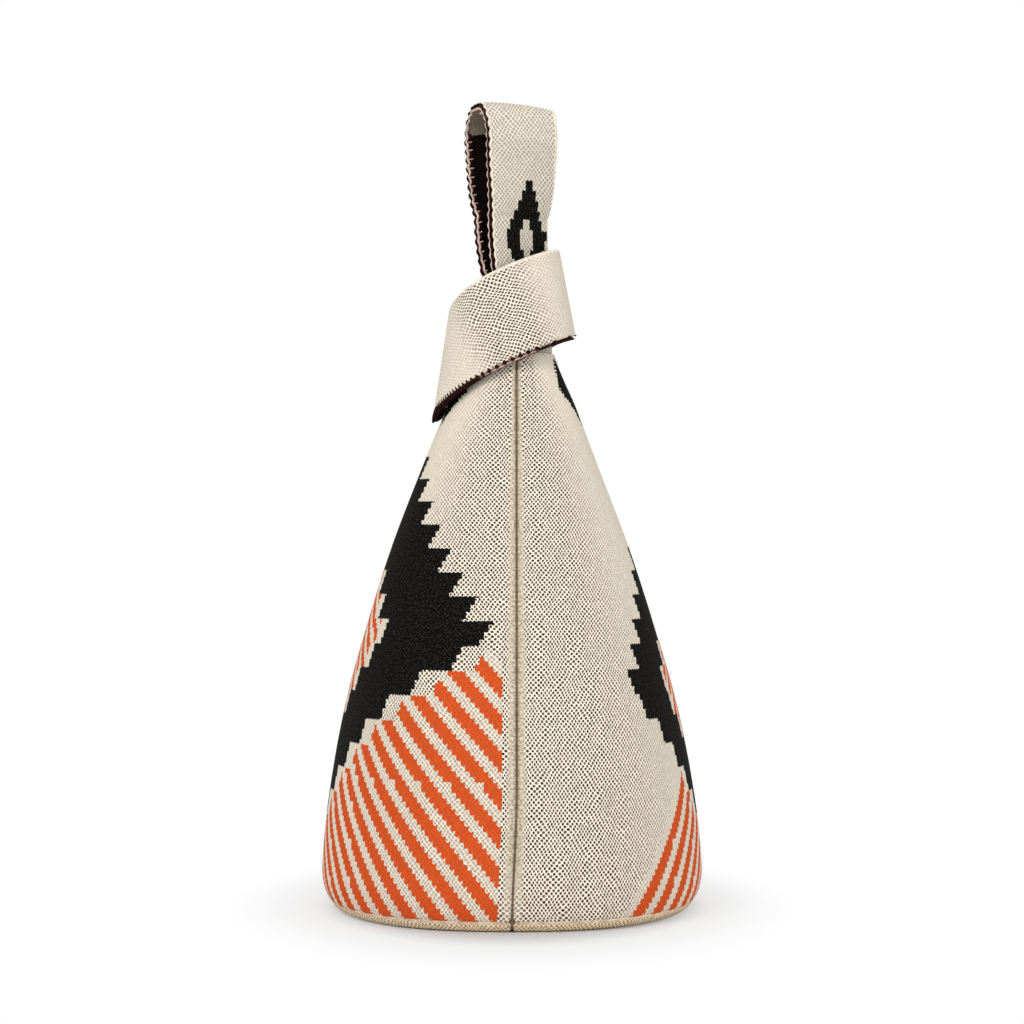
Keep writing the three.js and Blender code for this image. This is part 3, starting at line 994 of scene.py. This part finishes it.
def make_side_seam(name, turn):
    """A side seam's allowance, and the thread that shows in its groove."""
    inward = np.array((-1.0 if turn < 0.5 else 1.0, 0, 0))
    head = float(upper_edge(turn))
    heights = np.linspace(RIM_HEIGHT + CLOTH + 2 * SEAM_DEPTH, head - SEAM_DEPTH, SIDE_SEAM_ROWS)
    edge = seam_line(turn, heights) + inward * (CLOTH / 2 + 2 * SEAT)
    allowance = make_allowance(name, edge, edge + inward * SEAM_DEPTH, SEAM_THICKNESS)
    pinched = np.linspace(FOOT, FOOT + 2 * CORNER, PINCH_STEPS)
    heights = np.concatenate((pinched, np.linspace(pinched[-1], head, SIDE_THREAD_STEPS)[1:]))
    radius = lerp(SEAM_PINCH, SEAM_THREAD, smoothstep(heights, FOOT, FOOT + 1.5 * CORNER))
    line = seam_line(turn, heights) + inward * SEAM_SUNK
    return allowance, make_thread(name + "_thread", line, radius, seam_shade_yarn)


def make_base_seam(name, side):
    """The allowance of the seam between a panel and the base, and the thread that shows in its groove."""
    foot = oval(np.linspace(*BASE_SEAM_TURNS, BASE_SEAM_ROWS), side, RIM_HEIGHT + CLOTH)[::-side]
    outward = unit(foot * np.array((1, 1, 0)))
    edge = foot - outward * (CLOTH + SEAT / 2)
    inner = edge - outward * SEAM_DEPTH + np.array((0, 0, SEAM_DEPTH / 3))
    allowance = make_allowance(name, edge, inner, CLOTH / 2)
    first = float(turn_at(BASE_THREAD_START, RIM_HEIGHT, side))
    line = oval(np.linspace(first, 1 - first, BASE_THREAD_STEPS), side, RIM_HEIGHT + SEAT / 2)
    return allowance, make_thread(name + "_thread", line, BASE_THREAD, base_yarn)


def make_middle_seam(name):
    """The allowance of the base's middle seam, and its thread, which shows at the rim."""
    seam_end = FOOT_REACH - MIDDLE_SEAM_END - SEAM_DEPTH
    edge = point(np.linspace(-seam_end, seam_end, MIDDLE_SEAM_ROWS), 0, CLOTH + SEAT)
    allowance = make_allowance(name, edge, edge + np.array((0, 0, SEAM_DEPTH)), SEAM_THICKNESS)
    heights = rim_heights(np.linspace(0, 1, RIM_THREAD_STEPS))
    start = point(-left_at(heights), 0, heights)[::-1]
    end = point(right_at(heights), 0, heights)
    return allowance, make_thread(name + "_thread", np.concatenate((start, end)), SEAM_THREAD, seam_shade_yarn)


front_panel, front_mouth, front_flat, front_area = make_panel("front_panel_knit", -1, front_finishes)
back_panel, back_mouth, back_flat, back_area = make_panel("back_panel_knit", 1, back_finishes)
front_base, front_base_flat, front_base_area = make_base("front_base_knit", -1)
back_base, back_base_flat, back_base_area = make_base("back_base_knit", 1)
right_seam = make_side_seam("right_side_seam", 0.0)
left_seam = make_side_seam("left_side_seam", 1.0)
front_base_seam = make_base_seam("front_base_seam", -1)
back_base_seam = make_base_seam("back_base_seam", 1)
middle_seam = make_middle_seam("base_middle_seam")


# Straps

STRAP_CAMBER = 1.3
CAMBER_START = (-30.0, 10.0)  # heights from the fold over which the strap bows
SHORT_WIDTH = 40.0  # the short strap's columns are spread as over this width
STRAP_COLUMNS = 22
SHORT_COLUMNS = 26
NECK_ROWS = 56
LOOP_ROWS = 130
LEG_ROWS = 60
BAND_ROWS = 100
SLANT_ROWS = 25  # rows over which the slant of the courses is evened out


def make_carrying_strap():
    """The carrying strap, from the back neck up the near layer, over the crown and down to the front neck."""
    share = with_rolls(FULL_WIDTH, STRAP_COLUMNS)[None] / FULL_WIDTH
    up = np.linspace(0, 1, NECK_ROWS)[:-1, None] + 0 * share
    near = neck_strap(1, 0.0, share, up)
    far = neck_strap(-1, 1.0, share, up)[::-1]
    crown = loop(np.linspace(0, 1, LOOP_ROWS)[:, None], strap_across(share))
    middle = np.concatenate((near, crown, far))
    above_fold = middle[..., 2] - FOLD_HEIGHT
    free = smoothstep(above_fold, *CAMBER_START) * (1 - smoothstep(above_fold, LOOP_HEIGHT / 2, LOOP_HEIGHT))
    bow = STRAP_CAMBER * free * (1 - (2 * share - 1) ** 2)
    middle = middle + facing(middle) * bow[..., None]

    lengthways = along(middle[:, middle.shape[1] // 2])
    from_crown = lengthways[len(lengthways) // 2] - lengthways
    to_edge = FULL_WIDTH * np.minimum(share, 1 - share)
    thick = np.broadcast_to(CLOTH * rolled(to_edge), middle.shape[:2])
    maps = {"stitches": point(strap_across(share), from_crown[:, None])}
    piece = knit_sheet("carrying_strap", middle, thick, maps, (strap_knit, strap_reverse), cut_ends(middle))
    return piece, middle, (FULL_WIDTH * MM, float(lengthways[-1]) * MM)


def make_short_strap():
    """The short strap, from the back shoulder, across the neck as a band, to the front shoulder."""
    share = with_rolls(SHORT_WIDTH, SHORT_COLUMNS)[None] / SHORT_WIDTH
    up = np.linspace(0, 1, LEG_ROWS)[:-1, None]
    back = strap_leg(1, share, up)
    front = strap_leg(-1, share, up)[::-1]
    across = band(np.linspace(1, 0, BAND_ROWS)[:, None], share)
    middle = np.concatenate((back, across, front))

    middle_line = middle[:, middle.shape[1] // 2]
    lengthways = along(middle_line)[:, None]
    from_face = lengthways - lengthways[len(lengthways) // 2]
    from_lower = along(middle, axis=1)
    widths = from_lower[:, -1:]
    thick = CLOTH * rolled(np.minimum(from_lower, widths - from_lower))
    ahead = unit(np.gradient(middle_line, axis=0))
    slant = (unit(middle[:, -1] - middle[:, 0]) * ahead).sum(axis=-1)
    slant = np.convolve(slant, np.ones(SLANT_ROWS) / SLANT_ROWS, "same")[:, None]
    beside = from_lower - widths / 2
    maps = {"stitches": point(beside * np.sqrt(1 - slant**2), from_face + slant * beside)}
    piece = knit_sheet("short_strap", middle, thick, maps, (band_knit, cream_reverse), cut_ends(middle))
    flat = (float(widths.max()) * MM, float(lengthways[-1, 0]) * MM)
    return piece, middle, flat, sheet_area(middle)


carrying_strap, carrying_grid, carrying_flat = make_carrying_strap()
short_strap, short_grid, short_flat, short_area = make_short_strap()


# Edgings

WAVE = 4.5  # length of a wave of the two-colour overlock
WAVE_STEPS = 10
WAVE_SWAY = 0.35
CROWN_BARE = (-8.0, 20.0)  # from here to there along the loop's edge, the overlock has no lobes
WAVY_YARNS = (  # distances off the edge and out of the cloth's face, radius, swell to each wave, finish
    (0.6, 0.5, 0.5, 0.3, 0),
    (1.25, -0.7, 0.3, -0.6, 0),
    (1.15, -1.4, 0.5, 0.0, 1),
    (0.1, 0.7, 0.7, 0.1, 2),
)
FINE_PITCH = 1.55  # stitches of the neckline's overlock
NEEDLE_LINE = 4.4  # how far from the edge the needle thread runs on the reverse
NEEDLE_OUT = -1.55
NEEDLE_THREAD = 0.4
STITCH_LEG = NEEDLE_LINE - 0.6  # how far a stitch runs back along the reverse
STITCH_RISE = 0.3
STITCH_LEAN = 0.7
STITCH_SIDES = 6
STITCH_STEPS = 7
BEAD_SEGMENTS = 8
BEAD_RINGS = 5
CHAIN = 0.5  # radius of the yarn along the edge
CHAIN_OUT = -0.1
TOOTH_PITCH = 3.8  # teeth that the overlock of the band shows on its face
LONGEST_TOOTH = 2.3  # how much longer and narrower a tooth is at the left fold
TEETH_GROW = (4.0, 32.0)  # over these distances left of the middle
TEETH_START = 12.0  # right of here the teeth dwindle
TEETH_DWINDLE = (TEETH_START - 4.0, TEETH_START + 8.0)
DWINDLED = 0.6  # how much shorter they are there
TEETH_CLOSE = -14.0  # left of here they stand close, on dark yarn
CROWDING = 1.05  # how quickly they crowd as they grow
SHOWN_YARN = 0.45  # between the teeth, thinner at its ends
SHOWN_SWELL = ((0, 0.2, 0.8, 1), (0.1, 1, 1, 0.1))
CLOSE_YARN = 0.75
ROLLED_EDGE = 1.36
ROLLED_INSET = 1.15
CROWN_SEAM_ENDS = 3  # columns of the strap past the crown seam's ends
CROWN_SEAM_HALF = np.array((2.0, 0.6, 0))  # half the width of its allowance


def offset_line(edge, off_edge, out):
    line, off, face = edge
    return line + off * off_edge + face * out


def wavy_tube(bm, edge, off_edge, out, radius, swell, finish_index):
    """A yarn beside an edge that sways, and swells by a share, once to each wave of the overlock."""
    line = edge[0]
    places = np.arange(0, along(line)[-1], WAVE / WAVE_STEPS)
    wave = np.cos(2 * math.pi * places / WAVE)
    fine = tuple(sampled(line, places, values) for values in edge)
    path = offset_line(fine, off_edge + WAVE_SWAY * wave[:, None], out)
    add_tube(bm, path, radius * (1 + swell * wave), finish_index)


def wrap_mesh(radius, yarn, start):
    """One stitch round an edge that lies along X, its outside towards +Y and the cloth's face towards +Z.

    It starts on the face at an angle, goes round the edge and runs back along the reverse.
    """
    bm = bmesh.new()
    at_edge = Matrix.Translation((0, radius * MM, 0))
    bmesh.ops.create_circle(bm, cap_ends=True, segments=STITCH_SIDES, radius=yarn * MM, matrix=at_edge)
    turn = Matrix.Rotation(math.radians(start), 3, "X")
    bmesh.ops.rotate(bm, cent=(0, 0, 0), matrix=turn, verts=bm.verts)
    spun = bmesh.ops.spin(
        bm,
        geom=bm.verts[:] + bm.edges[:] + bm.faces[:],
        cent=(0, 0, 0),
        axis=(1, 0, 0),
        dvec=(STITCH_LEAN * MM / STITCH_STEPS, 0, 0),
        angle=-math.radians(start + 90),
        steps=STITCH_STEPS,
    )
    end = [part for part in spun["geom_last"] if isinstance(part, bmesh.types.BMFace)]
    run = bmesh.ops.extrude_face_region(bm, geom=end)
    tip = [part for part in run["geom"] if isinstance(part, bmesh.types.BMVert)]
    leg = Vector((STITCH_LEAN / 2, -STITCH_LEG, STITCH_RISE)) * MM
    bmesh.ops.translate(bm, vec=leg, verts=tip)
    bmesh.ops.delete(bm, geom=[face for face in end if face.is_valid], context="FACES_ONLY")
    bmesh.ops.recalc_face_normals(bm, faces=bm.faces)
    return mesh_from("stitch", bm)


def bead_mesh(size, place, lean=0.0):
    """An oval bead of yarn at a place beside an edge that lies along X, its outside towards +Y."""
    bm = bmesh.new()
    shape = Matrix.Diagonal((*(axis * MM for axis in size), 1))
    turn = Matrix.Translation(Vector(place) * MM) @ Matrix.Rotation(lean, 4, "Z") @ shape
    bmesh.ops.create_uvsphere(bm, u_segments=BEAD_SEGMENTS, v_segments=BEAD_RINGS, radius=1.0, matrix=turn)
    return mesh_from("bead", bm)


def off_the_crown(edge, places):
    """Places along the loop's edge, without those on the crown, where the reverse is pale."""
    from_crown = places - along(edge[0])[-1] / 2
    return places[(from_crown < CROWN_BARE[0]) | (from_crown > CROWN_BARE[1])]


def make_wavy_edging(name, edge):
    """Two-colour overlock: maroon yarn round the edge, pale yarn with cusps on the reverse, maroon lobes
    between the cusps, and the scalloped edge of the cloth's face."""
    bm = bmesh.new()
    lobe = bead_mesh(size=(1.75, 1.25, 0.6), place=(0, -0.5, -1.3))
    stitch_along(bm, lobe, edge, off_the_crown(edge, even_places(edge, WAVE)), 0)
    cusp = bead_mesh(size=(0.4, 1.6, 0.4), place=(0.3, -0.2, -1.6), lean=-0.35)
    stitch_along(bm, cusp, edge, off_the_crown(edge, even_places(edge, WAVE, first=1.0)), 1)
    for yarn in WAVY_YARNS:
        wavy_tube(bm, edge, *yarn)
    return add_piece(name, bm, (maroon_yarn, pale_yarn, rolled_yarn))


def overlock(edge, chain_off, **stitch):
    """Close overlock in maroon, with the needle thread as a pale line on the reverse."""
    bm = bmesh.new()
    stitch_along(bm, wrap_mesh(**stitch), edge, even_places(edge, FINE_PITCH), 0)
    add_tube(bm, offset_line(edge, chain_off, CHAIN_OUT), CHAIN, 0)
    add_tube(bm, offset_line(edge, -NEEDLE_LINE, NEEDLE_OUT), NEEDLE_THREAD, 1)
    return bm


def make_fine_edging(name, edge):
    bm = overlock(edge, chain_off=1.1, radius=1.2, yarn=0.45, start=60)
    return add_piece(name, bm, (maroon_yarn, pale_yarn))


def tooth_growth(place):
    """How long a tooth is beside the plain ones, by its place on the band. Long ones stand closer."""
    longer = (LONGEST_TOOTH - 1) * smoothstep(-place[1], *TEETH_GROW)
    return float(1 + longer - DWINDLED * smoothstep(place[1], *TEETH_DWINDLE))


def make_band_edging(name, edge):
    """The same overlock, whose loops show as teeth on the face and grow longer towards the left fold."""
    bm = overlock(edge, chain_off=0.95, radius=1.1, yarn=0.4, start=20)
    sideways = edge[0][:, 1]
    fold = int(np.argmax(sideways))
    shown = fold + int(np.argmax(sideways[fold:] < TEETH_START))
    close = fold + int(np.argmax(sideways[fold:] < TEETH_CLOSE))
    shown_edge = [part[shown:close + 1] for part in edge]
    swell = np.interp(np.linspace(0, 1, len(shown_edge[0])), *SHOWN_SWELL)
    add_tube(bm, offset_line(shown_edge, off_edge=0.9, out=0.8), SHOWN_YARN * swell, 2)
    add_tube(bm, offset_line([part[close:] for part in edge], off_edge=0.1, out=0.7), CLOSE_YARN, 0)
    tooth = bead_mesh(size=(1.05, 1.1, 0.5), place=(0, 0, 1.2), lean=0.5)
    places = [0.0]
    while places[-1] < along(edge[0])[-1]:
        place = sampled(edge[0], np.array(places[-1:]), edge[0])[0]
        places.append(places[-1] + TOOTH_PITCH / tooth_growth(place) ** CROWDING)
    stitch_along(bm, tooth, edge, np.array(places[1:-1]), 0, tooth_growth)
    return add_piece(name, bm, (maroon_yarn, pale_yarn, mauve_yarn))


def make_rolled_edging(name, edge):
    return make_thread(name, offset_line(edge, -ROLLED_INSET, 0.0), ROLLED_EDGE, rolled_yarn)


def make_crown_seam(name):
    """Allowance of the seam that joins the two straps, inside the crown."""
    crown = carrying_grid[len(carrying_grid) // 2, CROWN_SEAM_ENDS:-CROWN_SEAM_ENDS]
    seam = crown - np.array((0, 0, CLOTH + SEAT))
    return make_allowance(name, seam - CROWN_SEAM_HALF, seam + CROWN_SEAM_HALF, CLOTH / 2)


front_mouth_edging = make_fine_edging("front_mouth_overlock", front_mouth)
back_mouth_edging = make_fine_edging("back_mouth_overlock", back_mouth)
band_lower_edging = make_band_edging("band_lower_overlock", sheet_edge(short_grid, 0))
band_upper_edging = make_rolled_edging("band_upper_roll", sheet_edge(short_grid, -1))
loop_left_edging = make_wavy_edging("loop_left_overlock", sheet_edge(carrying_grid, 0))
loop_right_edging = make_rolled_edging("loop_right_roll", sheet_edge(carrying_grid, -1))
crown_seam = make_crown_seam("loop_crown_seam")


# What carries each piece, and the nodes that it stands for, which are hidden. The bag's pieces and the crown
# seam are attached to their bodies; the straps and their edgings only have their transforms baked.

BAG, BAND, LOOP = "bag", "band", "carrying_loop"
LOOP_BEND = {"start": (0, 0, 0.296), "end": (0, 0, 0.322)}
BAND_BEND = {"start": (-0.038, 0, 0.24), "end": (0, 0, 0.24)}

bag_pieces = [
    (front_panel, "pattern_knit", "front_panel"),
    (back_panel, "pattern_knit", "back_panel"),
    (front_base, "cream_knit", "front_base"),
    (back_base, "cream_knit", "back_base"),
    (front_mouth_edging, "dark_edging", "front_mouth_edging"),
    (back_mouth_edging, "dark_edging", "back_mouth_edging"),
    (right_seam[0], "cream_knit", "right_side_seam"),
    (left_seam[0], "cream_knit", "left_side_seam"),
    (front_base_seam[0], "cream_knit", "front_base_seam"),
    (back_base_seam[0], "cream_knit", "back_base_seam"),
    (middle_seam[0], "cream_knit", "base_middle_seam"),
]
for piece, slot, node in bag_pieces:
    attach(piece, BAG)
    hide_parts(node)
for _, thread in (right_seam, left_seam, front_base_seam, back_base_seam, middle_seam):
    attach(thread, BAG)

neck_to_neck = ["front_neck_strap", "back_neck_strap", "loop_near_strap", "loop_far_strap"]
shoulder_to_shoulder = ["front_strap_leg", "back_strap_leg", "short_strap_band"]
bending_pieces = [
    (carrying_strap, LOOP, LOOP_BEND, "cream_knit", neck_to_neck),
    (loop_left_edging, LOOP, LOOP_BEND, "dark_edging", ["loop_left_edging"]),
    (loop_right_edging, LOOP, LOOP_BEND, "cream_edging", ["loop_right_edging"]),
    (short_strap, BAND, BAND_BEND, "cream_knit", shoulder_to_shoulder),
    (band_lower_edging, BAND, BAND_BEND, "dark_edging", ["band_lower_edging"]),
    (band_upper_edging, BAND, BAND_BEND, "cream_edging", ["band_upper_edging"]),
]
for piece, body, bend, slot, nodes in bending_pieces:
    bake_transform(piece)
    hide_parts(*nodes)
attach(crown_seam, LOOP)
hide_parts("loop_crown_seam")


# Studio

CAMERA_AWAY = 1.42
CAMERA_HEIGHT = 0.1757
LENS = 110.78
LAMP_AIM = Vector((0, 0, 0.17))
SKY_STRENGTH = 0.66
FLOOR_SIZE = 6.0
FLOOR_BOUNCE = (0.9, 0.9, 0.9, 1.0)
# Painted shadow: seen by the camera, the floor inside an oval round the base is a darker grey, under the real
# shadow, and white outside it
FLOOR_SHADE = (0.55, 0.55, 0.55, 1.0)
SHADOW_SIZE = (0.134, 0.078, 1.0)  # the oval round the base by which the floor turns white
NEAR_SHADOW = (0.8, 1.15)  # in sizes of that oval: the deep shadow's start and end, and the soft one's
FAR_SHADOW = (1.0, 1.7)
NEAR_SHARE = 0.7  # the deep shadow's share of the two


def seen_by_eye(finish):
    """1 for rays that the camera, a gloss or a glass sees by, and 0 for those that light the object."""
    path = finish.node("LightPath")
    mirrored = path.output("Is Glossy Ray").most(path.output("Is Transmission Ray"))
    return path.output("Is Camera Ray").most(mirrored)


def make_sky():
    world = bpy.data.worlds.new("white studio")
    bpy.context.scene.world = world
    finish = Finish(world)
    lighting = finish.node("Background", {"Color": WHITE, "Strength": SKY_STRENGTH})
    white = finish.node("Background", {"Color": WHITE, "Strength": 1.0})
    sky = finish.node("MixShader", {0: seen_by_eye(finish), 1: lighting, 2: white})
    finish.node("OutputWorld", {"Surface": sky})


def make_floor():
    finish = Finish(bpy.data.materials.new("studio floor"))
    place = finish.node("TexCoord").output("Object")
    in_bases = finish.node("VectorMath", {0: place, 1: SHADOW_SIZE}, operation="DIVIDE")
    away = finish.node("VectorMath", {0: in_bases}, operation="LENGTH").output("Value")
    seen = seen_by_eye(finish)
    # Painted shadow: the camera sees the darker floor near the base, fading to white emission further out
    glow = lerp(away.ramp(*FAR_SHADOW), away.ramp(*NEAR_SHADOW), NEAR_SHARE) * seen
    bounce = finish.node("BsdfDiffuse", {"Color": FLOOR_BOUNCE})
    shade = finish.node("BsdfDiffuse", {"Color": FLOOR_SHADE})
    lit = finish.node("MixShader", {0: seen, 1: bounce, 2: shade})
    white = finish.node("Emission", {"Color": WHITE, "Strength": 1.0})
    surface = finish.node("MixShader", {0: glow, 1: lit, 2: white})
    finish.node("OutputMaterial", {"Surface": surface})
    bm = bmesh.new()
    bmesh.ops.create_grid(bm, x_segments=1, y_segments=1, size=FLOOR_SIZE)
    floor = add_piece("studio_floor", bm, (finish.owner,))


def make_lamp(name, place, size, power):
    light = bpy.data.lights.new(name, "AREA")
    light.shape = "DISK"
    light.size = size
    light.energy = power
    lamp = add_object(name, light)
    lamp.location = place
    lamp.rotation_euler = (LAMP_AIM - Vector(place)).to_track_quat("-Z", "Y").to_euler()


def make_camera():
    camera = add_object("camera", bpy.data.cameras.new("camera"))
    camera.data.lens = LENS
    camera.location = (CAMERA_AWAY, 0, CAMERA_HEIGHT)
    camera.rotation_euler = (math.pi / 2, 0, math.pi / 2)
    bpy.context.scene.camera = camera


make_sky()
make_floor()
make_lamp("key", place=(1.8, -1.1, 2.0), size=1.4, power=38.5)
make_lamp("fill", place=(1.5, 1.6, 1.0), size=1.5, power=15.0)
make_camera()
bpy.context.scene.view_settings.view_transform = "Standard"
